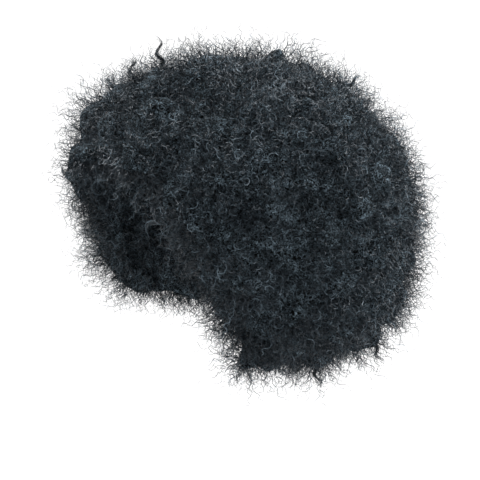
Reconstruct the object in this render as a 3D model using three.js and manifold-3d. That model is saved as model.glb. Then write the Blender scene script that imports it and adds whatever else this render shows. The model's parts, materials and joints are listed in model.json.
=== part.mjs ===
// Afro wig: a round puff of tightly curled hair on a close cap, in the form it has on a head.
// Millimetres, +Z up, the face looks along -Y, and the wearer's left is +X.
// The origin is the crown of the head, where the inside of the cap sits on it.
import * as THREE from "three";
import { mergeVertices } from "three/addons/utils/BufferGeometryUtils.js";
import Module from "manifold-3d";

const wasm = await Module();
wasm.setup();
const { Manifold, Mesh: SolidMesh } = wasm;

// The head that the wig fits
const headWidth = 152;
const headDepth = 194;
const crownToBrow = 94;

// The cap, and where its rim lies below the crown
const capWall = 1.6;
const foreheadDrop = 50;
const earDrop = 102;
const napeDrop = 138;

// The puff, measured over the tips of its locks
const puffWidth = 350;
const puffFront = 176;
const puffBack = 172;
const puffHeight = 278;
const hairOverCrown = 48;

// The open face: its top is on the forehead, this far above the brow
const openingOverBrow = 38;
const lobeSweep = 30; // degrees that the hair beside the face falls back, seen from above

// The locks that the hair clumps into
const lockCount = 156;
const lockRise = 13;
const lockRadius = 26;
const lockLean = 7;
const lockVariety = 0.22; // share by which a lock may be larger or smaller
const lockSides = 6;

// Clearance of the hair from the cap, and of one section of hair from the next
const hairGap = 0.3;

// Where the sections of hair part: turns from the face about Z, and tilts from the vertical
const fringeTurn = 38;
const backTurn = 128;
const crownTilt = 50;
const napeTilt = 112;

const headRoundness = 22; // points round a section of the head
const puffRoundness = 22; // points round a section of the puff

// Sections of the head from the crown down. Drop is a share of crownToBrow, side of half the
// head's width, front and back of half its depth. Below the ears they follow the neck.
const HEAD_SECTIONS = [
  { drop: 0.0, side: 0.16, front: 0.14, back: 0.16 },
  { drop: 0.04, side: 0.38, front: 0.34, back: 0.38 },
  { drop: 0.13, side: 0.6, front: 0.58, back: 0.6 },
  { drop: 0.28, side: 0.79, front: 0.78, back: 0.8 },
  { drop: 0.5, side: 0.93, front: 0.92, back: 0.95 },
  { drop: 0.75, side: 0.99, front: 0.985, back: 1.0 },
  { drop: 1.0, side: 1.0, front: 1.0, back: 0.99 },
  { drop: 1.3, side: 0.97, front: 1.0, back: 0.93 },
  { drop: 1.6, side: 0.9, front: 1.0, back: 0.8 },
  { drop: 1.9, side: 0.84, front: 1.0, back: 0.7 },
  { drop: 2.9, side: 0.84, front: 1.0, back: 0.7 },
];

// Sections of the puff from its top down. Drop is a share of its height, side of half its
// width, front and back of its reach that way.
const PUFF_SECTIONS = [
  { drop: 0.0, side: 0.2, front: 0.16, back: 0.2 },
  { drop: 0.035, side: 0.41, front: 0.38, back: 0.4 },
  { drop: 0.1, side: 0.61, front: 0.59, back: 0.58 },
  { drop: 0.2, side: 0.79, front: 0.79, back: 0.76 },
  { drop: 0.33, side: 0.92, front: 0.94, back: 0.89 },
  { drop: 0.48, side: 0.99, front: 1.0, back: 0.97 },
  { drop: 0.62, side: 1.0, front: 1.0, back: 1.0 },
  { drop: 0.75, side: 0.97, front: 0.98, back: 0.98 },
  { drop: 0.85, side: 0.88, front: 0.92, back: 0.91 },
  { drop: 0.93, side: 0.72, front: 0.76, back: 0.76 },
  { drop: 0.98, side: 0.5, front: 0.54, back: 0.55 },
  { drop: 1.0, side: 0.34, front: 0.3, back: 0.36 },
];

// Sections of the open face from its top down. Drop is a share of the way to the puff's
// bottom. Inside is a share of half the head's width, lobe the radius of the rounded hair
// beside the face as a share of the hair's thickness there, and reach the place of that
// round's centre as a share of puffFront. Past 1 the last row clears the bottom.
const FACE_SECTIONS = [
  { drop: 0.0, inside: 0.1, lobe: 0.1, reach: 1.12 },
  { drop: 0.05, inside: 0.36, lobe: 0.38, reach: 0.72 },
  { drop: 0.11, inside: 0.52, lobe: 0.48, reach: 0.52 },
  { drop: 0.28, inside: 0.62, lobe: 0.44, reach: 0.43 },
  { drop: 0.5, inside: 0.7, lobe: 0.42, reach: 0.29 },
  { drop: 0.65, inside: 0.8, lobe: 0.38, reach: 0.21 },
  { drop: 0.82, inside: 0.9, lobe: 0.32, reach: 0.08 },
  { drop: 1.1, inside: 0.98, lobe: 0.28, reach: -0.2 },
];

// A lock's outline from its root to its tip, as shares of its radius and its rise.
const LOCK_PROFILE = [
  { out: 0, up: -1 },
  { out: 0.92, up: -0.2 },
  { out: 0.66, up: 0.7 },
  { out: 0, up: 1 },
];

const radians = THREE.MathUtils.degToRad;
const GOLDEN_TURN = Math.PI * (3 - Math.sqrt(5));
const browLevel = -crownToBrow;
const puffTop = hairOverCrown;
const puffBottom = puffTop - puffHeight;
const puffCentre = new THREE.Vector3(0, 0, browLevel);
const farAway = puffWidth + puffHeight;

// A closed geometry as a solid that can be joined and cut.
function solidOf(geometry) {
  const bare = geometry.index ? geometry.toNonIndexed() : geometry.clone();
  bare.deleteAttribute("normal");
  bare.deleteAttribute("uv");
  const merged = mergeVertices(bare, 1e-4);
  const corners = merged.index.array;
  const kept = [];
  for (let i = 0; i < corners.length; i += 3) {
    const [a, b, c] = corners.slice(i, i + 3);
    if (a !== b && b !== c && c !== a) kept.push(a, b, c);
  }
  return new Manifold(
    new SolidMesh({
      numProp: 3,
      vertProperties: merged.attributes.position.array,
      triVerts: new Uint32Array(kept),
    }),
  );
}

// A solid's surface as a three.js geometry.
function geometryOf(solid) {
  const { vertProperties, triVerts } = solid.getMesh();
  const geometry = new THREE.BufferGeometry();
  geometry.setAttribute("position", new THREE.BufferAttribute(vertProperties, 3));
  geometry.setIndex(new THREE.BufferAttribute(triVerts, 1));
  return geometry;
}

// The largest of the bodies that a solid is in.
function largestBody(solid) {
  return solid.decompose().reduce((a, b) => (a.volume() > b.volume() ? a : b));
}

// A closed skin through rings of points, from the highest to the lowest. Each ring has as
// many points as the others and runs anticlockwise, seen from above.
function loft(rings) {
  const count = rings[0].length;
  const positions = rings.flat().flatMap((p) => [p.x, p.y, p.z]);
  const index = [];
  for (let row = 0; row + 1 < rings.length; row++) {
    for (let i = 0; i < count; i++) {
      const next = (i + 1) % count;
      const [a, b] = [row * count + i, row * count + next];
      index.push(a, a + count, b, b, a + count, b + count);
    }
  }
  const last = (rings.length - 1) * count;
  const flat = (ring) => ring.map((p) => new THREE.Vector2(p.x, p.y));
  for (const [a, b, c] of THREE.ShapeUtils.triangulateShape(flat(rings[0]), [])) {
    index.push(a, b, c);
  }
  for (const [a, b, c] of THREE.ShapeUtils.triangulateShape(flat(rings.at(-1)), [])) {
    index.push(last + c, last + b, last + a);
  }
  const geometry = new THREE.BufferGeometry();
  geometry.setAttribute("position", new THREE.Float32BufferAttribute(positions, 3));
  geometry.setIndex(index);
  return geometry;
}

// An oval ring whose front and back halves may reach different ways.
function oval(z, side, front, back, count) {
  return Array.from({ length: count }, (_, i) => {
    const turn = (2 * Math.PI * i) / count;
    const reach = Math.sin(turn) < 0 ? front : back;
    return new THREE.Vector3(side * Math.cos(turn), reach * Math.sin(turn), z);
  });
}

// The head and neck, grown by a margin on every side.
function headSolid(margin) {
  const rings = HEAD_SECTIONS.map(({ drop, side, front, back }) =>
    oval(
      margin - drop * crownToBrow,
      (side * headWidth) / 2 + margin,
      (front * headDepth) / 2 + margin,
      (back * headDepth) / 2 + margin,
      headRoundness,
    ),
  );
  return solidOf(loft(rings));
}

// Everything below the cap's rim: a side view of it, run across the head.
function belowRim() {
  const half = headDepth / 2 + 2 * capWall;
  const rim = new THREE.SplineCurve([
    new THREE.Vector2(-half, -foreheadDrop),
    new THREE.Vector2(-0.55 * half, -0.7 * foreheadDrop - 0.3 * earDrop),
    new THREE.Vector2(0.1 * half, -earDrop),
    new THREE.Vector2(half, -napeDrop),
  ]);
  const floor = -farAway;
  const profile = new THREE.Shape([
    new THREE.Vector2(-half, floor),
    new THREE.Vector2(half, floor),
    ...rim.getPoints(12).reverse(),
  ]);
  const across = headWidth + 4 * capWall;
  const geometry = new THREE.ExtrudeGeometry(profile, { depth: across, bevelEnabled: false });
  geometry.translate(0, 0, -across / 2);
  geometry.applyMatrix4(
    new THREE.Matrix4().makeBasis(
      new THREE.Vector3(0, 1, 0),
      new THREE.Vector3(0, 0, 1),
      new THREE.Vector3(1, 0, 0),
    ),
  );
  return solidOf(geometry);
}

// The space kept clear in front of the face, with rounded lobes of hair at both sides.
function faceSpace() {
  const top = browLevel + openingOverBrow;
  const thickness = (puffWidth - headWidth) / 2;
  const sweep = radians(lobeSweep);
  const rings = FACE_SECTIONS.map(({ drop, inside, lobe, reach }) => {
    const z = top + drop * (puffBottom - top);
    const half = (inside * headWidth) / 2;
    const radius = lobe * thickness;
    const centre = new THREE.Vector2(half + radius, -reach * puffFront);
    const within = headDepth / 4;
    const points = [];
    for (let step = 1; step <= 4; step++) {
      const turn = (Math.PI / 2) * (1 - step / 4);
      const y = centre.y + (within - centre.y) * Math.sin(turn);
      points.push(new THREE.Vector3(half * Math.cos(turn), y, z));
    }
    for (let step = 1; step <= 6; step++) {
      const turn = Math.PI + (Math.PI / 2 + sweep) * (step / 6);
      const x = centre.x + radius * Math.cos(turn);
      points.push(new THREE.Vector3(x, centre.y + radius * Math.sin(turn), z));
    }
    const edge = points.at(-1);
    const far = edge.y + (farAway - edge.x) * Math.tan(sweep);
    points.push(new THREE.Vector3(farAway, far, z));
    points.push(new THREE.Vector3(farAway, -2 * farAway, z));
    const mirrored = points.map((p) => new THREE.Vector3(-p.x, p.y, z)).reverse();
    return [new THREE.Vector3(0, within, z), ...points, ...mirrored].reverse();
  });
  return solidOf(loft(rings));
}

// The puff without its locks, with the face cut open.
function puffSolid() {
  const rings = PUFF_SECTIONS.map(({ drop, side, front, back }) =>
    oval(
      puffTop - lockRise - drop * (puffHeight - 2 * lockRise),
      side * (puffWidth / 2 - lockRise),
      front * (puffFront - lockRise),
      back * (puffBack - lockRise),
      puffRoundness,
    ),
  );
  return solidOf(loft(rings)).subtract(faceSpace());
}

// One lock: a blunt tuft on the Y axis whose tip leans to one side.
function lockGeometry(turn) {
  const radius = lockRadius * (1 + lockVariety * Math.sin(2 * turn));
  const rise = lockRise * (1 + lockVariety * Math.cos(3 * turn));
  const profile = LOCK_PROFILE.map(
    ({ out, up }) => new THREE.Vector2(out * radius, up * rise),
  );
  const geometry = new THREE.LatheGeometry(profile, lockSides, turn);
  const place = geometry.attributes.position;
  for (let i = 0; i < place.count; i++) {
    const lean = (lockLean * Math.max(0, place.getY(i))) / rise;
    place.setX(i, place.getX(i) + lean * Math.cos(turn));
    place.setZ(i, place.getZ(i) + lean * Math.sin(turn));
  }
  return geometry;
}

// Locks spread evenly over the puff, found by looking at it from outside towards its centre.
function locks(puff) {
  const skin = new THREE.Mesh(geometryOf(puff), new THREE.MeshBasicMaterial());
  const ray = new THREE.Raycaster();
  const up = new THREE.Vector3(0, 1, 0);
  const nearest = headWidth / 2 + lockRadius;
  const neck = HEAD_SECTIONS.at(-1);
  const inNeck = ({ x, y, z }) =>
    z < browLevel &&
    Math.hypot(x / (neck.side * headWidth), y / (neck.back * headDepth)) < 0.5;
  const found = [];
  for (let i = 0; i < lockCount; i++) {
    const height = 1 - (2 * i + 1) / lockCount;
    const turn = i * GOLDEN_TURN;
    const round = Math.sqrt(1 - height * height);
    const outward = new THREE.Vector3(round * Math.cos(turn), round * Math.sin(turn), height);
    const eye = puffCentre.clone().addScaledVector(outward, farAway);
    ray.set(eye, outward.clone().negate());
    const hit = ray.intersectObject(skin)[0];
    // None stands on the open face's walls or in the neck's opening
    if (!hit || hit.point.distanceTo(puffCentre) < nearest || inNeck(hit.point)) continue;
    const way = hit.face.normal.clone().add(outward).normalize();
    const placed = lockGeometry(turn)
      .applyQuaternion(new THREE.Quaternion().setFromUnitVectors(up, way))
      .translate(hit.point.x, hit.point.y, hit.point.z);
    found.push(solidOf(placed));
  }
  return found;
}

// A wedge about the vertical axis between two turns from the face, its walls moved in or out.
function wedge(from, to, outset) {
  const middle = radians((from + to) / 2);
  const half = radians((to - from) / 2);
  const way = (turn) => new THREE.Vector2(Math.sin(turn), -Math.cos(turn));
  const apex = way(middle).multiplyScalar(-outset / Math.sin(half));
  const points = [apex];
  for (let step = 0; step <= 4; step++) {
    points.push(way(middle + half * (step / 2 - 1)).multiplyScalar(farAway).add(apex));
  }
  const geometry = new THREE.ExtrudeGeometry(new THREE.Shape(points), {
    depth: 2 * farAway,
    bevelEnabled: false,
  });
  return solidOf(geometry.translate(0, 0, -farAway));
}

// A cone about the vertical axis with its point in the puff's centre. It opens upwards for a
// tilt under 90 degrees, and its wall is moved in or out.
function cone(tilt, outset) {
  const angle = radians(tilt);
  const side = Math.sign(Math.cos(angle));
  const point = puffCentre.z - (side * outset) / Math.sin(angle);
  const outer = new THREE.Vector2(
    farAway * Math.sin(angle),
    point + farAway * Math.cos(angle),
  );
  const profile = [new THREE.Vector2(0, point), outer, new THREE.Vector2(0, outer.y)];
  if (side < 0) profile.reverse();
  const geometry = new THREE.LatheGeometry(profile, puffRoundness);
  return solidOf(geometry.rotateX(Math.PI / 2));
}

function capSolid() {
  return headSolid(capWall).subtract(headSolid(0)).subtract(belowRim());
}

// The hair as sections, each a mass of its own with the locks that stand on it.
function hairSections() {
  const puff = puffSolid();
  const hair = Manifold.union([puff, ...locks(puff)]).subtract(headSolid(capWall + hairGap));
  const inset = -hairGap / 2;
  const around = hair.subtract(cone(crownTilt, -inset));
  const back = around.intersect(wedge(backTurn, 360 - backTurn, inset));
  return {
    hair_crown: hair.intersect(cone(crownTilt, inset)),
    hair_fringe: around.intersect(wedge(-fringeTurn, fringeTurn, inset)),
    hair_left: around.intersect(wedge(fringeTurn, backTurn, inset)),
    hair_right: around.intersect(wedge(-backTurn, -fringeTurn, inset)),
    hair_back: back.subtract(cone(napeTilt, -inset)),
    hair_nape: back.intersect(cone(napeTilt, inset)),
  };
}

function piece(name, solid, material) {
  const geometry = geometryOf(largestBody(solid));
  geometry.computeVertexNormals();
  const mesh = new THREE.Mesh(geometry, material);
  mesh.name = name;
  return mesh;
}

const capNet = new THREE.MeshStandardMaterial({ color: 0x15161a, roughness: 0.9 });
const curledHair = new THREE.MeshStandardMaterial({ color: 0x1c2023, roughness: 0.6 });

const wig = new THREE.Group();
wig.name = "afro_wig";
wig.add(piece("cap", capSolid(), capNet));
for (const [name, solid] of Object.entries(hairSections())) {
  wig.add(piece(name, solid, curledHair));
}

export default wig;
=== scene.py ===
"""Afro wig: a round puff of tightly curled black hair on a close-fitting cap.

The hair is made in layers, as it looks on the real wig: a matted mass for each section, a
thick frizz of short crimped fibres all over it, longer curls that stand out of the frizz, and
a few loose locks round the puff and under the fringe.
"""

import json
import math

import bpy
import numpy as np
from bpy.props import FloatProperty, FloatVectorProperty, IntProperty, PointerProperty
from bpy.types import Operator, Panel, PropertyGroup
from mathutils import Matrix, Vector, noise
from mathutils.bvhtree import BVHTree

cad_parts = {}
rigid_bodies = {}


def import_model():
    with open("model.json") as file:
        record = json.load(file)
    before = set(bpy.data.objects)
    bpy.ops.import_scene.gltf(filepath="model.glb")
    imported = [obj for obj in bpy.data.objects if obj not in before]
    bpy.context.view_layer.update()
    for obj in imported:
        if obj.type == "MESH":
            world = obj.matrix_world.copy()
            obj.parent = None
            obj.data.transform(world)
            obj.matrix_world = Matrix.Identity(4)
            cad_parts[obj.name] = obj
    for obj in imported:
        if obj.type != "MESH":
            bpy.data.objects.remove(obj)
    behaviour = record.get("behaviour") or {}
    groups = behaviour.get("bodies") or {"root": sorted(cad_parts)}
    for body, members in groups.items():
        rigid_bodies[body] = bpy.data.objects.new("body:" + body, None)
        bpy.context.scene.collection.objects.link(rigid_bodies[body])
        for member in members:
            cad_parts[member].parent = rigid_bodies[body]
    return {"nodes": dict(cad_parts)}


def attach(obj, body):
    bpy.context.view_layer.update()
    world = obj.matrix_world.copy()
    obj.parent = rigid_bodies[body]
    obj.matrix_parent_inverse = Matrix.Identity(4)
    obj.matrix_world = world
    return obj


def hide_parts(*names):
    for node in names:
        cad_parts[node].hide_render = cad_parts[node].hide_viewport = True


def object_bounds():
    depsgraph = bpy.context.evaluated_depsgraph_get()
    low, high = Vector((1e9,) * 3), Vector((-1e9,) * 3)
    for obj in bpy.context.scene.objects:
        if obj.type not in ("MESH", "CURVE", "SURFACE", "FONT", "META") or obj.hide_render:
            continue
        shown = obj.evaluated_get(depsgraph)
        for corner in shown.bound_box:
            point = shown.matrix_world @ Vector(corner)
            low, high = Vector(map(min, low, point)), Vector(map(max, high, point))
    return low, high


bl_info = {
    "name": "Afro Wig",
    "version": (1, 0, 0),
    "blender": (4, 5, 0),
    "location": "View3D > Sidebar > Wig",
    "description": "Builds the curled hair of an afro wig round its packed solids",
    "category": "Object",
}

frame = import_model()
CAD_LOW, CAD_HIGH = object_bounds()

SECTIONS = ["hair_crown", "hair_fringe", "hair_left", "hair_right", "hair_back", "hair_nape"]

# The partings between the sections of hair all run through this point, at the brow's level.
PARTING_POINT = Vector((0, 0, -0.094))

# How far the looks stand out of the solids' box at most, on each side, in metres
PROUD = 0.009

# The inner walls of the hair in front of this Y lie in the open, round the face
FACE_EDGE = -0.03

# The photo is square. The wig's middle is at MIDDLE_PIXEL in it, counted from its top left,
# and a metre there is PIXELS_PER_METRE long.
PHOTO_SIZE = 480
PIXELS_PER_METRE = 1130
MIDDLE_PIXEL = (245, 211)
WIG_MIDDLE = Vector((0, 0, -0.1))

# Blender's noise differs from run to run unless it is seeded
NOISE_SEED = 1

# Points along a frizz fibre, a curl and a strand of a lock: about 2 mm apart
FRIZZ_RINGS = 12
CURL_RINGS = 18
LOCK_RINGS = 22

# Hair between these distances from the parting point, in metres, comes loose from the cap
LOOSE_FROM_CAP = (0.105, 0.135)

# Between these distances from the next section, in metres, an edge comes to lie in the open
EDGE_IN_OPEN = (0.005, 0.018)

# A face lies on an inner wall where the cosine of its turn from outwards is under this
INNER_COSINE = -0.6

# Sizes of the clumps, of the tufts that the mats stand in and of those that lean together, and
# how far fibres are rooted under a mat, in metres
CLUMP_SIZE = 0.045
TUFT_SIZES = (0.011, 0.026)
LEANING_TUFT_SIZE = 0.02
ROOT_DEPTH = 0.001

# Fibres grow where a line out of the surface meets nothing between these distances, in metres
AIR_FROM = 0.0012
AIR_DEPTH = 0.014

# Hair's thickness: how far it follows the clumps, its limits, and what is added where it hangs
CLUMP_THICKNESS = 1.5
THICKNESS_LIMITS = (0.5, 1.5)
HANGING_THICKNESS = 1.5

# How far a fibre's way follows the surface's normal, and the tuft that it stands in
STAND = 1.3
TUFT_LEAN = 0.6

# How far fibres differ, as shares of their usual length, crimp, swing and width
LENGTH_SPREAD = (0.6, 1.25)
CRIMP_SPREAD = (0.8, 1.3)
SWING_SPREAD = (0.6, 1.4)
WIDTH_SPREAD = (0.75, 1.2)
LOCK_WIDTH_SPREAD = (0.8, 1.2)

# How far a fibre bends from its root to its tip, in radians
BEND_SPREAD = (0.1, 1.2)

# Share of its width that a fibre has lost at its tip
TIP_LOSS = 0.72

# Light of even hair, from 0 for roots alone to 1 for all of the tip's tone, what a clump and a
# metre of tuft add to it, and the least light in the creases
EVEN_LIGHT = 0.76
CLUMP_LIGHT = 1.2
TUFT_LIGHT = 25
LEAST_LIGHT = 0.3

# Length of the floor's edge in metres, so that it lies outside the picture
FLOOR_SIZE = 90

# Softboxes: turn from the camera and height in radians, distance and size in metres, and watts
SOFTBOXES = [
    {"name": "key", "turn": -0.5, "height": 0.95, "distance": 1.5, "size": 0.7, "power": 7},
    {"name": "fill", "turn": 1.1, "height": 0.35, "distance": 1.8, "size": 1.2, "power": 20},
]

# Wide, even lights from far away: turn from straight behind the wig in radians
BACKLIGHTS = [
    {"name": "back_right", "turn": -0.9},
    {"name": "back_left", "turn": 0.9},
]
BACKLIGHT_STRENGTH = 5.6
BACKLIGHT_WIDTH = math.radians(52)
BACKLIGHT_FROM_ZENITH = math.radians(54)
WORLD_STRENGTH = 0.45

# Where the puff stands out in a tuft or dips in a crease. Turn runs from the face towards the
# wearer's left and rise up from level, and breadth is half the place's width, all in degrees
# about the parting point. Reach is in metres.
TUFTS = [
    # Round the outline, from the back over the top to the face
    {"turn": 139, "rise": 44, "breadth": 6, "reach": -0.004},
    {"turn": 157, "rise": 59, "breadth": 5, "reach": 0.006},
    {"turn": 168, "rise": 65, "breadth": 6, "reach": -0.01},
    {"turn": -140, "rise": 77, "breadth": 9, "reach": 0.022},
    {"turn": -49, "rise": 71, "breadth": 5, "reach": -0.005},
    {"turn": -49, "rise": 51, "breadth": 6, "reach": -0.015},
    {"turn": -38, "rise": 33, "breadth": 6, "reach": 0.009},
    {"turn": -44, "rise": 18, "breadth": 9, "reach": 0.015},
    # Along its lower edge, from the wearer's right over the face to the back
    {"turn": -52, "rise": -19, "breadth": 6, "reach": -0.006},
    {"turn": -57, "rise": -39, "breadth": 12, "reach": 0.021},
    {"turn": 62, "rise": -50, "breadth": 10, "reach": 0.015},
    {"turn": 90, "rise": -57, "breadth": 6, "reach": 0.009},
    {"turn": 108, "rise": -48, "breadth": 5, "reach": 0.009},
    {"turn": 114, "rise": -29, "breadth": 5, "reach": 0.007},
    {"turn": 127, "rise": -19, "breadth": 5, "reach": -0.006},
    # Creases and a tuft on the wearer's left
    {"turn": 28, "rise": 27, "breadth": 7, "reach": -0.012},
    {"turn": 61, "rise": 40, "breadth": 5, "reach": -0.008},
    {"turn": 78, "rise": 28, "breadth": 6, "reach": -0.012},
    {"turn": 69, "rise": 17, "breadth": 6, "reach": -0.014},
    {"turn": 59, "rise": 6, "breadth": 4, "reach": -0.008},
    {"turn": 69, "rise": -1, "breadth": 5, "reach": -0.01},
    {"turn": 46, "rise": 15, "breadth": 7, "reach": 0.006},
]

# Loose locks that stand out of the puff. Turn runs from the face towards the wearer's left and
# rise up from level, in degrees about the parting point. Lean tips a lock up or down. Length,
# wave and swing, half its wave's width, are in metres.
STRAY_LOCKS = [
    {"turn": -47, "rise": 46, "lean": 22, "length": 0.028, "wave": 0.018, "swing": 0.0032},
    {"turn": -41, "rise": 35, "lean": 38, "length": 0.026, "wave": 0.017, "swing": 0.0032},
    {"turn": -42, "rise": 32, "lean": -28, "length": 0.022, "wave": 0.015, "swing": 0.0026},
    {"turn": -37, "rise": -3, "lean": 30, "length": 0.015, "wave": 0.013, "swing": 0.0024},
    {"turn": 163, "rise": 62, "lean": -34, "length": 0.022, "wave": 0.014, "swing": 0.0026},
    {"turn": 108, "rise": -47, "lean": -15, "length": 0.022, "wave": 0.014, "swing": 0.0024},
    {"turn": 118, "rise": -30, "lean": -22, "length": 0.019, "wave": 0.013, "swing": 0.002},
]

# Locks that hang in S-curls under the fringe, in metres: near where each leaves the fringe's
# underside, the way that it runs and the way that it waves.
FRINGE_CURLS = [
    {"start": (0.05, -0.136, -0.06), "way": (-0.75, 0.05, -0.6), "over": (0.6, 0, 1),
     "length": 0.062, "wave": 0.028, "swing": 0.006},
    {"start": (0.056, -0.14, -0.066), "way": (-0.3, 0.05, -1), "over": (1, 0, 0.2),
     "length": 0.044, "wave": 0.02, "swing": 0.0045},
    {"start": (-0.002, -0.136, -0.06), "way": (-0.1, 0.1, -1), "over": (1, 0, 0),
     "length": 0.036, "wave": 0.02, "swing": 0.0045},
    {"start": (-0.034, -0.136, -0.06), "way": (-0.15, 0.1, -1), "over": (1, 0, 0),
     "length": 0.04, "wave": 0.019, "swing": 0.004},
]


def linear(hex_colour):
    """An sRGB hex colour, such as "1a2b3c", as linear red, green and blue."""
    parts = [int(hex_colour[i : i + 2], 16) / 255 for i in (0, 2, 4)]
    return [p / 12.92 if p <= 0.04045 else ((p + 0.055) / 1.055) ** 2.4 for p in parts]


class WigHair(PropertyGroup):
    """Sizes and numbers of the hair."""

    mat_grain: FloatProperty(
        name="Mat grain",
        description="Edge of the grid that the matted hair is modelled on",
        default=0.0052,
        unit="LENGTH",
    )
    mat_depth: FloatProperty(
        name="Mat depth",
        description="How far the matted hair lies under the locks' tips",
        default=0.0115,
        unit="LENGTH",
    )
    mat_setback: FloatProperty(
        name="Mat setback",
        description="How far the matted hair lies back from an open edge, as beside the face",
        default=0.006,
        unit="LENGTH",
    )
    clump_depth: FloatProperty(
        name="Clump depth",
        description="Depth of the hollows between the broad clumps of hair",
        default=0.018,
        unit="LENGTH",
    )
    mat_overlap: FloatProperty(
        name="Mat overlap",
        description="How far the mats of two sections reach into each other at their parting",
        default=0.003,
        unit="LENGTH",
    )
    tuft_lift: FloatProperty(
        name="Tuft lift",
        description="Share of a tuft's reach that the matted hair under it takes up",
        default=0.5,
        subtype="FACTOR",
    )
    tuft_height: FloatProperty(
        name="Tuft height",
        description="Height of the small tufts that the matted hair stands in",
        default=0.0026,
        unit="LENGTH",
    )
    frizz_count: IntProperty(
        name="Frizz fibres",
        description="Number of short crimped fibres",
        default=30500,
    )
    frizz_length: FloatProperty(
        name="Frizz length",
        description="Length of a frizz fibre along its axis",
        default=0.0225,
        unit="LENGTH",
    )
    curl_count: IntProperty(
        name="Curls",
        description="Number of longer curls",
        default=6200,
    )
    curl_length: FloatProperty(
        name="Curl length",
        description="Length of a longer curl along its axis",
        default=0.032,
        unit="LENGTH",
    )
    crimp: FloatProperty(
        name="Crimp",
        description="Length of one wave of the crimp",
        default=0.0105,
        unit="LENGTH",
    )
    swing: FloatProperty(
        name="Swing",
        description="Half the width of the crimp's wave",
        default=0.002,
        unit="LENGTH",
    )
    fibre: FloatProperty(
        name="Fibre width",
        description="Width of a modelled fibre at its root, which stands for a few real ones",
        default=0.00068,
        unit="LENGTH",
    )
    lock_strands: IntProperty(
        name="Lock strands",
        description="Number of strands in a loose lock",
        default=34,
    )
    lock_width: FloatProperty(
        name="Lock width",
        description="Width of a loose lock where it leaves the hair",
        default=0.0036,
        unit="LENGTH",
    )


class WigColours(PropertyGroup):
    """Colours of the wig and of the stage."""

    # The hair's own near black, darkened further as painted shade in the gaps of the tangle
    mat_painted_shade: FloatVectorProperty(
        name="Mat shade",
        description="Hair colour in the gaps between the matted fibres",
        subtype="COLOR",
        default=linear("030404"),
    )
    # Painted shade: the roots lie deep in the frizz, out of the light, so the fibres are darkest
    # there
    fibre_root_shade: FloatVectorProperty(
        name="Fibre root",
        description="Hair colour deep in the frizz, and of the darkest fibres",
        subtype="COLOR",
        default=linear("040506"),
    )
    fibre_middle: FloatVectorProperty(
        name="Fibre middle",
        description="Colour of most of the fibres",
        subtype="COLOR",
        default=linear("0c1317"),
    )
    # Painted highlight: the light grey that the lighter fibres' tips and the mat's drawn hairs
    # take, standing for glints of light
    fibre_highlight: FloatVectorProperty(
        name="Fibre tip",
        description="Hair colour at the tips of the lightest fibres",
        subtype="COLOR",
        default=linear("7a8c98"),
    )
    sheen: FloatVectorProperty(
        name="Sheen",
        description="Tint of the gloss along the fibres",
        subtype="COLOR",
        default=linear("d0e2f2"),
    )
    net: FloatVectorProperty(
        name="Cap net",
        description="Colour of the stretch net",
        subtype="COLOR",
        default=linear("131416"),
    )
    net_gap: FloatVectorProperty(
        name="Net gap",
        description="Colour in the gaps of the stretch net",
        subtype="COLOR",
        default=linear("0a0a0b"),
    )
    floor: FloatVectorProperty(
        name="Floor",
        description="Colour of the pale floor, which comes out white in the light",
        subtype="COLOR",
        default=linear("acacac"),
    )


class WigStage(PropertyGroup):
    """Camera and floor."""

    camera_azimuth: FloatProperty(
        name="Azimuth",
        description="Turn of the camera from the face towards the wearer's left",
        default=math.radians(52),
        subtype="ANGLE",
    )
    camera_elevation: FloatProperty(
        name="Elevation",
        description="Height of the camera over the brow's level",
        default=math.radians(14),
        subtype="ANGLE",
    )
    camera_roll: FloatProperty(
        name="Roll",
        description="Lean of the wig to the picture's right",
        default=math.radians(12),
        subtype="ANGLE",
    )
    camera_distance: FloatProperty(
        name="Distance",
        description="From the camera to the wig's middle",
        default=1.4,
        unit="LENGTH",
    )
    floor_drop: FloatProperty(
        name="Floor drop",
        description="How far the floor lies below the hair",
        default=0.35,
        unit="LENGTH",
    )


def add_node(tree, kind, links=(), **settings):
    """Adds a shader node, sets its attributes or input sockets, and links inputs to it."""
    node = tree.nodes.new(kind)
    for name, value in settings.items():
        if hasattr(node, name):
            setattr(node, name, value)
        else:
            node.inputs[name.replace("_", " ")].default_value = value
    for socket, source in links:
        tree.links.new(source, node.inputs[socket])
    return node


def new_material(name):
    """An empty node material, its tree and its Principled shader."""
    material = bpy.data.materials.new(name)
    material.use_nodes = True
    tree = material.node_tree
    return material, tree, tree.nodes["Principled BSDF"]


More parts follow.
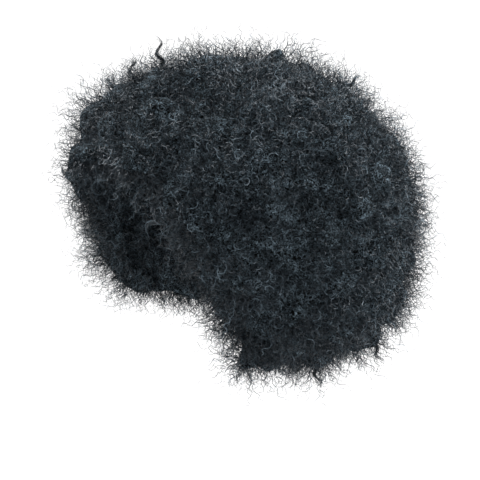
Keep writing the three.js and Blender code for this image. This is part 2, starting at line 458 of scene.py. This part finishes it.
def fibre_material():
    """Crimped modacrylic fibre: drawn plastic, near black, with a soft grey gloss along it. Its
    colour has painted shade at the roots and painted highlights towards the tips of the lighter
    fibres.

    Its map runs across all fibres along U and from root to tip along V.
    """
    colours = bpy.context.scene.wig_colours
    material, tree, shader = new_material("crimped_modacrylic_fibre")
    place = add_node(tree, "ShaderNodeUVMap", uv_map="OFBake")
    spread = add_node(
        tree, "ShaderNodeMapping", [("Vector", place.outputs["UV"])], Scale=(60, 1, 1)
    )
    streak = add_node(
        tree, "ShaderNodeTexNoise", [("Vector", spread.outputs["Vector"])], Scale=1.0, Detail=1.0
    )
    # Fibres lie side by side in the map in random order, so each has a tone of its own
    tone = add_node(
        tree,
        "ShaderNodeMapRange",
        [("Value", streak.outputs["Fac"])],
        From_Min=0.34,
        From_Max=0.68,
    )
    # From root to tip the tone rises: painted shade towards the roots
    along = add_node(tree, "ShaderNodeSeparateXYZ", [("Vector", place.outputs["UV"])])
    lift = add_node(
        tree,
        "ShaderNodeMapRange",
        [("Value", along.outputs["Y"])],
        To_Min=0.3,
        To_Max=1.0,
    )
    both = add_node(
        tree,
        "ShaderNodeMath",
        [(0, lift.outputs["Result"]), (1, tone.outputs["Result"])],
        operation="MULTIPLY",
    )
    # The ramp paints light and shade: dark at the roots as painted shade, light grey towards the
    # tips of the lighter fibres as painted highlights
    shade = add_node(tree, "ShaderNodeValToRGB", [("Fac", both.outputs["Value"])])
    low, high = shade.color_ramp.elements
    low.position = 0.08
    low.color = (*colours.fibre_root_shade, 1)
    high.position = 0.85
    high.color = (*colours.fibre_highlight, 1)
    middle = shade.color_ramp.elements.new(0.45)
    middle.color = (*colours.fibre_middle, 1)
    tree.links.new(shade.outputs["Color"], shader.inputs["Base Color"])
    gloss = add_node(
        tree,
        "ShaderNodeMapRange",
        [("Value", streak.outputs["Fac"])],
        To_Min=0.28,
        To_Max=0.5,
    )
    tree.links.new(gloss.outputs["Result"], shader.inputs["Roughness"])
    shader.inputs["IOR"].default_value = 1.52
    shader.inputs["Specular IOR Level"].default_value = 0.5
    # Blue-black dye cools the sheen
    shader.inputs["Specular Tint"].default_value = (*colours.sheen, 1)
    return material


def drawn_hairs(tree, place, turn, scale):
    """Thin curved lines, as fine crimped hairs draw: contour lines of a smooth noise. The mat
    paints its highlights and its bumps along them.
    """
    moved = add_node(
        tree, "ShaderNodeMapping", [("Vector", place)], Location=turn, Rotation=turn
    )
    field = add_node(
        tree,
        "ShaderNodeTexNoise",
        [("Vector", moved.outputs["Vector"])],
        Scale=scale,
        Detail=1.0,
        Distortion=1.2,
    )
    off = add_node(
        tree, "ShaderNodeMath", [(0, field.outputs["Fac"])], operation="SUBTRACT"
    )
    apart = add_node(
        tree, "ShaderNodeMath", [(0, off.outputs["Value"])], operation="ABSOLUTE"
    )
    line = add_node(
        tree,
        "ShaderNodeMapRange",
        [("Value", apart.outputs["Value"])],
        From_Max=0.05,
        To_Min=1.0,
        To_Max=0.0,
    )
    return line.outputs["Result"]


def mat_material():
    """The same fibre, matted: thousands of fine crimped hairs crossing in all directions, drawn as
    light lines of painted highlight on a ground of painted shade.
    """
    colours = bpy.context.scene.wig_colours
    material, tree, shader = new_material("matted_modacrylic_fibre")
    place = add_node(tree, "ShaderNodeTexCoord")
    # A fibre is far finer than a pixel, so the tangle is drawn with hairs 2 to 3 mm apart
    hairs = add_node(
        tree,
        "ShaderNodeMath",
        [
            (0, drawn_hairs(tree, place.outputs["Object"], (0.3, 0.1, 0.7), 260.0)),
            (1, drawn_hairs(tree, place.outputs["Object"], (1.9, 2.3, 0.4), 380.0)),
        ],
        operation="MAXIMUM",
    )
    clump = add_node(
        tree,
        "ShaderNodeTexNoise",
        [("Vector", place.outputs["Object"])],
        Scale=140.0,
        Detail=2.0,
    )
    both = add_node(
        tree,
        "ShaderNodeMath",
        [(0, hairs.outputs["Value"]), (1, clump.outputs["Fac"])],
        operation="MULTIPLY",
    )
    # Light on the drawn hairs as painted highlights, dark between them as painted shade
    shade = add_node(tree, "ShaderNodeValToRGB", [("Fac", both.outputs["Value"])])
    low, high = shade.color_ramp.elements
    low.position = 0.12
    low.color = (*colours.mat_painted_shade, 1)
    high.position = 0.7
    high.color = (*colours.fibre_highlight, 1)
    tree.links.new(shade.outputs["Color"], shader.inputs["Base Color"])
    relief = add_node(
        tree,
        "ShaderNodeBump",
        [("Height", hairs.outputs["Value"])],
        Strength=0.8,
        Distance=0.0008,
    )
    tree.links.new(relief.outputs["Normal"], shader.inputs["Normal"])
    shader.inputs["Roughness"].default_value = 0.9
    shader.inputs["IOR"].default_value = 1.52
    # Little light comes back out of the gaps between the fibres
    shader.inputs["Specular IOR Level"].default_value = 0.04
    return material


def net_material():
    """Stretch net of nylon, with rows of machine-sewn weft: matt black with a fine grid."""
    colours = bpy.context.scene.wig_colours
    material, tree, shader = new_material("stretch_nylon_net")
    place = add_node(tree, "ShaderNodeTexCoord")
    # Rows of weft run level round the cap, 12 mm apart
    rows = add_node(
        tree,
        "ShaderNodeTexWave",
        [("Vector", place.outputs["Object"])],
        wave_type="BANDS",
        bands_direction="Z",
        Scale=26.0,
        Distortion=0.6,
        Detail=1.0,
    )
    # The net's own meshes are about 1.5 mm across
    meshes = add_node(
        tree,
        "ShaderNodeTexVoronoi",
        [("Vector", place.outputs["Object"])],
        feature="DISTANCE_TO_EDGE",
        Scale=650.0,
    )
    threads = add_node(
        tree,
        "ShaderNodeMapRange",
        [("Value", meshes.outputs["Distance"])],
        From_Max=0.18,
        To_Min=1.0,
        To_Max=0.0,
    )
    height = add_node(
        tree,
        "ShaderNodeMath",
        [(0, threads.outputs["Result"]), (1, rows.outputs["Fac"])],
        operation="ADD",
    )
    shade = add_node(tree, "ShaderNodeValToRGB", [("Fac", height.outputs["Value"])])
    low, high = shade.color_ramp.elements
    low.color = (*colours.net_gap, 1)
    high.position = 1.0
    high.color = (*colours.net, 1)
    tree.links.new(shade.outputs["Color"], shader.inputs["Base Color"])
    relief = add_node(
        tree,
        "ShaderNodeBump",
        [("Height", height.outputs["Value"])],
        Strength=0.7,
        Distance=0.0006,
    )
    tree.links.new(relief.outputs["Normal"], shader.inputs["Normal"])
    shader.inputs["Roughness"].default_value = 0.85
    return material


def vertex_rows(mesh, field):
    """The "co" or the "normal" of a mesh's vertices as an array, one row each."""
    flat = np.empty(len(mesh.vertices) * 3)
    mesh.vertices.foreach_get(field, flat)
    return flat.reshape(-1, 3)


def unit(vectors):
    """Vectors brought to length one, along the last axis."""
    return vectors / np.maximum(np.linalg.norm(vectors, axis=-1, keepdims=True), 1e-12)


def bearing(turn, rise):
    """The way that lies at a turn from the face and a rise from level, in radians."""
    level = Vector((math.sin(turn), -math.cos(turn), 0))
    return level * math.cos(rise) + Vector((0, 0, math.sin(rise)))


def toward(turn, rise):
    """The same in degrees."""
    return bearing(math.radians(turn), math.radians(rise))


def smoothstep(low, high, values):
    t = np.clip((values - low) / (high - low), 0, 1)
    return t * t * (3 - 2 * t)


def only(piece):
    """Makes a piece the only selected and active object."""
    bpy.ops.object.select_all(action="DESELECT")
    piece.select_set(True)
    bpy.context.view_layer.objects.active = piece


def noise_field(points, scale, seed):
    """A smooth random vector at each point, with features of the given size in metres."""
    shift = Vector((seed * 3.7, seed * 1.3, seed * 2.1))
    return np.array([noise.noise_vector(Vector(p) / scale + shift) for p in points])


def face_tree(pieces):
    """A search tree over the faces of some pieces."""
    corners, faces = [], []
    for piece in pieces:
        start = len(corners)
        corners.extend(v.co for v in piece.data.vertices)
        faces.extend([start + i for i in p.vertices] for p in piece.data.polygons)
    return BVHTree.FromPolygons(corners, faces)


def inner_walls(points, normals):
    """Which points lie on the hair's inner walls, beside and behind the wig's opening."""
    level = unit(points * (1, 1, 0))
    outwards = (normals * level).sum(axis=1)
    return (outwards < INNER_COSINE) & (points[:, 1] > FACE_EDGE)


def matted_copy(node):
    """A copy of a section's solid, remeshed, softened and drawn in under its locks' tips."""
    hair = bpy.context.scene.wig_hair
    others = face_tree([piece for name, piece in frame["nodes"].items() if name != node])
    piece = frame["nodes"][node].copy()
    piece.data = piece.data.copy()
    for key in list(piece.keys()):
        del piece[key]
    piece.parent = None
    piece.name = f"{node}_mat"
    bpy.context.scene.collection.objects.link(piece)
    only(piece)
    bpy.ops.object.mode_set(mode="EDIT")
    bpy.ops.mesh.select_all(action="SELECT")
    bpy.ops.mesh.remove_doubles(threshold=1e-5)
    bpy.ops.object.mode_set(mode="OBJECT")
    grid = piece.modifiers.new("grid", "REMESH")
    grid.mode = "VOXEL"
    grid.voxel_size = hair.mat_grain
    bpy.ops.object.modifier_apply(modifier=grid.name)
    soft = piece.modifiers.new("soft", "SMOOTH")
    soft.factor = 0.5
    soft.iterations = 3
    bpy.ops.object.modifier_apply(modifier=soft.name)

    points = vertex_rows(piece.data, "co")
    normals = vertex_rows(piece.data, "normal")
    out = points - np.array(PARTING_POINT)
    outward = unit(out)
    # Hair on the cap stays there
    share = smoothstep(*LOOSE_FROM_CAP, np.linalg.norm(out, axis=1))[:, None]
    sideways = normals - (normals * outward).sum(axis=1)[:, None] * outward
    # At a parting two mats reach into each other. An edge in the open lies back.
    gaps = np.array([others.find_nearest(Vector(point))[3] for point in points])
    in_open = smoothstep(*EDGE_IN_OPEN, gaps)
    shift = hair.mat_overlap * (1 - in_open) - hair.mat_setback * in_open
    shift[inner_walls(points, normals)] = 0
    tufts = sum(noise_field(points, size, i + 1)[:, :1] for i, size in enumerate(TUFT_SIZES))
    hollows = np.minimum(clumps(points), 0)[:, None] * hair.clump_depth
    lift = tuft_reach(points)[:, None] * hair.tuft_lift
    rise = tufts * hair.tuft_height + hollows + lift - hair.mat_depth
    points = points + share * (sideways * shift[:, None] + outward * rise)
    piece.data.vertices.foreach_set("co", points.ravel())
    piece.data.update()
    bpy.ops.object.shade_smooth()
    return piece


def tuft_reach(points):
    """How far the tufts and dips of the puff move the hair out at each point."""
    outward = unit(points - np.array(PARTING_POINT))
    reach = np.zeros(len(points))
    for row in TUFTS:
        away = outward @ np.array(toward(row["turn"], row["rise"]))
        angle = np.degrees(np.arccos(np.clip(away, -1, 1)))
        reach += row["reach"] * np.exp(-((angle / row["breadth"]) ** 2))
    return reach


def clumps(points):
    """The broad clumps that the hair lies in: under zero in the creases between them."""
    return noise_field(points, CLUMP_SIZE, 9)[:, 0]


def all_faces_tree():
    """A search tree over the matted hair and the cap."""
    mats = [bpy.data.objects[f"{node}_mat"] for node in SECTIONS]
    return face_tree([*mats, frame["nodes"]["cap"]])


def free_triangles(piece, tree):
    """The triangles of a matted piece that face open air: corners, normals and areas."""
    piece.data.calc_loop_triangles()
    count = len(piece.data.loop_triangles)
    index = np.empty(count * 3, int)
    piece.data.loop_triangles.foreach_get("vertices", index)
    index = index.reshape(-1, 3)
    normals = vertex_rows(piece.data, "normal")
    corners = vertex_rows(piece.data, "co")[index]
    cross = np.cross(corners[:, 1] - corners[:, 0], corners[:, 2] - corners[:, 0])
    areas = np.linalg.norm(cross, axis=1) / 2
    flat = unit(cross)
    middles = corners.mean(axis=1)
    free = ~inner_walls(middles, flat)
    for i in np.flatnonzero(free):
        start = Vector(middles[i] + flat[i] * AIR_FROM)
        free[i] = tree.ray_cast(start, Vector(flat[i]), AIR_DEPTH)[0] is None
    return corners[free], normals[index[free]], areas[free]


def scatter(skin, count, rng):
    """Random points on free triangles, with the surface normals there.

    Hair is thinner in the creases, and thickest where it hangs over the lower edges.
    """
    corners, normals, areas = skin
    thick = 1 + CLUMP_THICKNESS * clumps(corners.mean(axis=1))
    hanging = np.clip(-normals.mean(axis=1)[:, 2], 0, 1)
    weights = areas * np.clip(thick, *THICKNESS_LIMITS) * (1 + HANGING_THICKNESS * hanging)
    chosen = rng.choice(len(areas), count, p=weights / weights.sum())
    a, b = rng.random(count), rng.random(count)
    fold = a + b > 1
    a[fold], b[fold] = 1 - a[fold], 1 - b[fold]
    shares = np.stack([1 - a - b, a, b], axis=1)[:, :, None]
    return (corners[chosen] * shares).sum(axis=1), unit((normals[chosen] * shares).sum(axis=1))


def curled_paths(roots, aims, lengths, waves, swings, rings, rng):
    """Fibres that bend over to one side while they curl: the points along each."""
    count = len(roots)
    side = unit(np.cross(aims, unit(rng.normal(size=(count, 3)))))
    other = np.cross(aims, side)
    t = np.linspace(0, 1, rings)[None, :, None]
    bend = t * rng.uniform(*BEND_SPREAD, (count, 1, 1))
    heading = np.cos(bend) * aims[:, None] + np.sin(bend) * side[:, None]
    steps = heading * (lengths[:, None, None] / (rings - 1))
    axis = roots[:, None] + np.cumsum(steps, axis=1) - steps
    phase = rng.uniform(0, 2 * np.pi, (count, 1, 1))
    angle = phase + 2 * np.pi * t * (lengths / waves)[:, None, None]
    # The curl widens towards the tip, which ends in a hook
    grown = np.clip(t * 3, 0, 1) * (0.7 + 0.6 * t) * swings[:, None, None]
    paths = axis + grown * (np.cos(angle) * other[:, None] + 0.8 * np.sin(angle) * side[:, None])
    return within_reach(paths)


def lock_paths(row, start, way, over, rng):
    """The strands of one loose lock: they wave together and fray a little at its tip."""
    hair = bpy.context.scene.wig_hair
    way = unit(np.array(way, float))
    beside = unit(np.cross(way, over))
    across = np.cross(beside, way)
    # No two strands end at the same place, so that the lock runs out to a wisp
    reach = 1 - 0.45 * rng.random((hair.lock_strands, 1, 1)) ** 2
    t = np.linspace(0, 1, LOCK_RINGS)[:, None] * reach
    angle = 2 * np.pi * t * row["length"] / row["wave"]
    swing = row["swing"] * np.clip(3 * t, 0, 1)
    axis = np.array(start) + way * row["length"] * t
    axis = axis + swing * (np.sin(angle) * across + 0.6 * np.cos(angle) * beside)
    # Strands close in by half towards the tip, and each strays there in its own way
    strands = rng.normal(size=(hair.lock_strands, 1, 3)) * hair.lock_width / 4
    stray = rng.normal(size=(hair.lock_strands, 1, 3)) * hair.lock_width / 3
    return within_reach(axis + strands * (1 - 0.5 * t) + stray * t * np.sin(angle / 2))


def within_reach(paths):
    """Paths kept inside the solids' box, widened by PROUD on each side."""
    return np.clip(paths, np.array(CAD_LOW) - PROUD, np.array(CAD_HIGH) + PROUD)


def fibres(name, paths, widths, light, rng):
    """A mesh of flat, tapered fibres along the given paths, each with its face turned out.

    Light is how far up the map's tones, which run from root to tip, each fibre reaches.
    """
    count, rings, _ = paths.shape
    along = unit(np.gradient(paths, axis=1))
    across = unit(np.cross(along, rng.normal(size=(count, 1, 3))))
    outward = paths - np.array(PARTING_POINT)
    facing = (np.cross(across, along) * outward).sum(axis=(1, 2))
    across[facing < 0] *= -1
    taper = (1 - TIP_LOSS * np.linspace(0, 1, rings) ** 0.8)[None, :, None]
    half = widths[:, None, None] / 2 * taper * across
    edges = np.stack([paths - half, paths + half], axis=2)
    body = edges[:, :-1].reshape(count, -1, 3)
    points = np.concatenate([body, paths[:, -1:]], axis=1)
    tip = 2 * (rings - 1)

    triangles, places = [], []
    for ring in range(rings - 2):
        a, b = 2 * ring, 2 * ring + 1
        low, high = ring / (rings - 1), (ring + 1) / (rings - 1)
        triangles += [(a, b, b + 2), (a, b + 2, a + 2)]
        places += [((0, low), (1, low), (1, high)), ((0, low), (1, high), (0, high))]
    triangles.append((tip - 2, tip - 1, tip))
    places.append(((0, (rings - 2) / (rings - 1)), (1, (rings - 2) / (rings - 1)), (0.5, 1)))

    size = points.shape[1]
    faces = (np.array(triangles)[None] + (np.arange(count) * size)[:, None, None]).reshape(-1)
    # Each fibre has its own narrow column of the map
    column = rng.permutation(count)[:, None, None] / count
    local = np.array(places)[None].reshape(1, -1, 2)
    u = column + local[:, :, :1] / count * 0.9
    v = np.broadcast_to(local[:, :, 1:], u.shape) * light[:, None, None]
    mesh = bpy.data.meshes.new(name)
    mesh.vertices.add(count * size)
    mesh.vertices.foreach_set("co", points.ravel())
    mesh.loops.add(len(faces))
    mesh.loops.foreach_set("vertex_index", faces.astype(np.int32))
    mesh.polygons.add(len(faces) // 3)
    mesh.polygons.foreach_set("loop_start", np.arange(0, len(faces), 3, dtype=np.int32))
    mesh.update(calc_edges=True)
    layer = mesh.uv_layers.new(name="OFBake")
    layer.data.foreach_set("uv", np.concatenate([u, v], axis=2).ravel())
    mesh.shade_smooth()
    mesh.validate()
    piece = bpy.data.objects.new(name, mesh)
    bpy.context.scene.collection.objects.link(piece)
    return piece


def aims_at(points, normals, stray, rng):
    """Which way fibres grow: out of the surface, in tufts that lean together, and at random."""
    tufts = noise_field(points, LEANING_TUFT_SIZE, 5)
    return unit(STAND * normals + TUFT_LEAN * tufts + stray * rng.normal(size=points.shape))


def finish_piece(piece, material):
    """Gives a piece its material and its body."""
    piece.data.materials.clear()
    piece.data.materials.append(material)
    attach(piece, "root")


class WIG_OT_cap(Operator):
    """Finishes the cap as a stretch net with rows of weft"""

    bl_idname = "wig.cap"
    bl_label = "Cap"

    def execute(self, context):
        cap = frame["nodes"]["cap"]
        cap.data.materials.clear()
        cap.data.materials.append(net_material())
        return {"FINISHED"}


class WIG_OT_mats(Operator):
    """Models the matted mass of each section of hair"""

    bl_idname = "wig.mats"
    bl_label = "Matted Hair"

    def execute(self, context):
        material = mat_material()
        for node in SECTIONS:
            piece = matted_copy(node)
            finish_piece(piece, material)
            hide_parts(node)
        return {"FINISHED"}


class WIG_OT_frizz(Operator):
    """Covers the matted hair with short crimped fibres and longer curls"""

    bl_idname = "wig.frizz"
    bl_label = "Frizz and Curls"

    def execute(self, context):
        hair = context.scene.wig_hair
        material = fibre_material()
        tree = all_faces_tree()
        skins = {
            node: free_triangles(bpy.data.objects[f"{node}_mat"], tree) for node in SECTIONS
        }
        whole = sum(skin[2].sum() for skin in skins.values())
        # Each kind's number, length, rings, how far it strays from its way, and its light
        kinds = (
            ("frizz", hair.frizz_count, hair.frizz_length, FRIZZ_RINGS, 0.6, 1),
            ("curls", hair.curl_count, hair.curl_length, CURL_RINGS, 0.4, 0.8),
        )
        for seed, node in enumerate(SECTIONS):
            rng = np.random.default_rng(100 + seed)
            share = skins[node][2].sum() / whole
            for kind, number, length, rings, stray, shine in kinds:
                count = round(number * share)
                points, normals = scatter(skins[node], count, rng)
                aims = aims_at(points, normals, stray, rng)
                lengths = length * rng.uniform(*LENGTH_SPREAD, count)
                lengths = lengths + (1 - hair.tuft_lift) * tuft_reach(points)
                waves = hair.crimp * rng.uniform(*CRIMP_SPREAD, count)
                swings = hair.swing * rng.uniform(*SWING_SPREAD, count)
                roots = points - normals * ROOT_DEPTH
                paths = curled_paths(roots, aims, lengths, waves, swings, rings, rng)
                widths = hair.fibre * rng.uniform(*WIDTH_SPREAD, count)
                # Hair in the creases lies in the shade and shows no light tips
                light = EVEN_LIGHT + CLUMP_LIGHT * clumps(points) + TUFT_LIGHT * tuft_reach(points)
                light = np.clip(light, LEAST_LIGHT, 1) * shine
                piece = fibres(f"{node}_{kind}", paths, widths, light, rng)
                finish_piece(piece, material)
        return {"FINISHED"}


class WIG_OT_locks(Operator):
    """Adds the loose curly locks under the fringe and round the puff"""

    bl_idname = "wig.locks"
    bl_label = "Loose Locks"

    def execute(self, context):
        hair = context.scene.wig_hair
        material = bpy.data.materials["crimped_modacrylic_fibre"]
        rng = np.random.default_rng(300)
        tree = all_faces_tree()
        fringe = [self.fringe(row, tree, rng) for row in FRINGE_CURLS]
        stray = [self.stray(row, tree, rng) for row in STRAY_LOCKS]
        # The locks round the puff stand against the light and stay dark
        for name, paths, shine in (("fringe_curls", fringe, 1), ("stray_locks", stray, 0.5)):
            paths = np.concatenate(paths)
            widths = hair.fibre * rng.uniform(*LOCK_WIDTH_SPREAD, len(paths))
            light = np.full(len(paths), shine)
            finish_piece(fibres(name, paths, widths, light, rng), material)
        return {"FINISHED"}

    def fringe(self, row, tree, rng):
        """A lock that leaves the mats at the place nearest to its row's start."""
        start = tree.find_nearest(Vector(row["start"]))[0]
        return lock_paths(row, start, row["way"], row["over"], rng)

    def stray(self, row, tree, rng):
        """A lock that stands on the mats where a line out of the parting point leaves them."""
        outward = toward(row["turn"], row["rise"])
        start = tree.ray_cast(PARTING_POINT + outward, -outward)[0]
        way = toward(row["turn"], row["rise"] + row["lean"])
        return lock_paths(row, start, way, (0, 0, 1), rng)


class WIG_OT_stage(Operator):
    """Sets the pale floor, the soft studio light and the camera"""

    bl_idname = "wig.stage"
    bl_label = "Stage"

    def execute(self, context):
        scene = context.scene
        stage = scene.wig_stage
        only(frame["nodes"]["cap"])
        bpy.ops.mesh.primitive_plane_add(
            size=FLOOR_SIZE, location=(0, 0, CAD_LOW.z - stage.floor_drop)
        )
        floor = context.active_object
        floor.name = "floor"
        bpy.ops.object.transform_apply(location=True, rotation=True, scale=True)
        material, _, shader = new_material("matt_white_paper")
        shader.inputs["Base Color"].default_value = (*scene.wig_colours.floor, 1)
        shader.inputs["Roughness"].default_value = 0.9
        floor.data.materials.append(material)

        world = bpy.data.worlds.new("studio")
        world.use_nodes = True
        sky = world.node_tree.nodes["Background"]
        sky.inputs["Color"].default_value = (1, 1, 1, 1)
        sky.inputs["Strength"].default_value = WORLD_STRENGTH
        scene.world = world
        scene.view_settings.view_transform = "Standard"

        back = bearing(stage.camera_azimuth, stage.camera_elevation)
        for row in SOFTBOXES:
            self.softbox(row, bearing(stage.camera_azimuth + row["turn"], row["height"]))
        # Most of the light comes from behind, high on both sides, so that the rim of the puff
        # shines. It leaves the floor just white: on a brighter one thin fibres would vanish.
        for row in BACKLIGHTS:
            self.backlight(row["name"], stage.camera_azimuth + math.pi + row["turn"])

        camera = bpy.data.objects.new("camera", bpy.data.cameras.new("camera"))
        scene.collection.objects.link(camera)
        across = PHOTO_SIZE / PIXELS_PER_METRE
        camera.data.lens = camera.data.sensor_width / across * stage.camera_distance
        turn = back.to_track_quat("Z", "Y").to_matrix() @ Matrix.Rotation(
            stage.camera_roll, 3, "Z"
        )
        right = MIDDLE_PIXEL[0] - PHOTO_SIZE / 2
        up = PHOTO_SIZE / 2 - MIDDLE_PIXEL[1]
        aim = WIG_MIDDLE - turn @ Vector((right, up, 0)) / PIXELS_PER_METRE
        camera.matrix_world = Matrix.Translation(aim + back * stage.camera_distance) @ turn.to_4x4()
        scene.camera = camera
        return {"FINISHED"}

    def backlight(self, name, azimuth):
        """A wide, even light from far away, high up on one side."""
        light = bpy.data.objects.new(name, bpy.data.lights.new(name, "SUN"))
        light.data.angle = BACKLIGHT_WIDTH
        light.data.energy = BACKLIGHT_STRENGTH
        light.rotation_euler = (BACKLIGHT_FROM_ZENITH, 0, azimuth)
        bpy.context.scene.collection.objects.link(light)

    def softbox(self, row, back):
        """A square light that lies in one way from the wig's middle and is aimed at it."""
        light = bpy.data.objects.new(row["name"], bpy.data.lights.new(row["name"], "AREA"))
        light.data.size = row["size"]
        light.data.energy = row["power"]
        turn = back.to_track_quat("Z", "Y").to_matrix().to_4x4()
        light.matrix_world = Matrix.Translation(WIG_MIDDLE + back * row["distance"]) @ turn
        bpy.context.scene.collection.objects.link(light)


class WIG_PT_panel(Panel):
    """Lists the steps and sizes of the wig"""

    bl_idname = "WIG_PT_panel"
    bl_label = "Wig"
    bl_space_type = "VIEW_3D"
    bl_region_type = "UI"
    bl_category = "Wig"

    def draw(self, context):
        for group in (context.scene.wig_hair, context.scene.wig_colours, context.scene.wig_stage):
            for name in group.__annotations__:
                self.layout.prop(group, name)
        for operator in OPERATORS:
            self.layout.operator(operator.bl_idname)


OPERATORS = (WIG_OT_cap, WIG_OT_mats, WIG_OT_frizz, WIG_OT_locks, WIG_OT_stage)
CLASSES = (WigHair, WigColours, WigStage, *OPERATORS, WIG_PT_panel)


def register():
    for cls in CLASSES:
        bpy.utils.register_class(cls)
    bpy.types.Scene.wig_hair = PointerProperty(type=WigHair)
    bpy.types.Scene.wig_colours = PointerProperty(type=WigColours)
    bpy.types.Scene.wig_stage = PointerProperty(type=WigStage)


def unregister():
    del bpy.types.Scene.wig_hair
    del bpy.types.Scene.wig_colours
    del bpy.types.Scene.wig_stage
    for cls in reversed(CLASSES):
        bpy.utils.unregister_class(cls)


def main():
    noise.seed_set(NOISE_SEED)
    register()
    bpy.ops.wig.cap()
    bpy.ops.wig.mats()
    bpy.ops.wig.frizz()
    bpy.ops.wig.locks()
    bpy.ops.wig.stage()


if __name__ == "__main__":
    main()
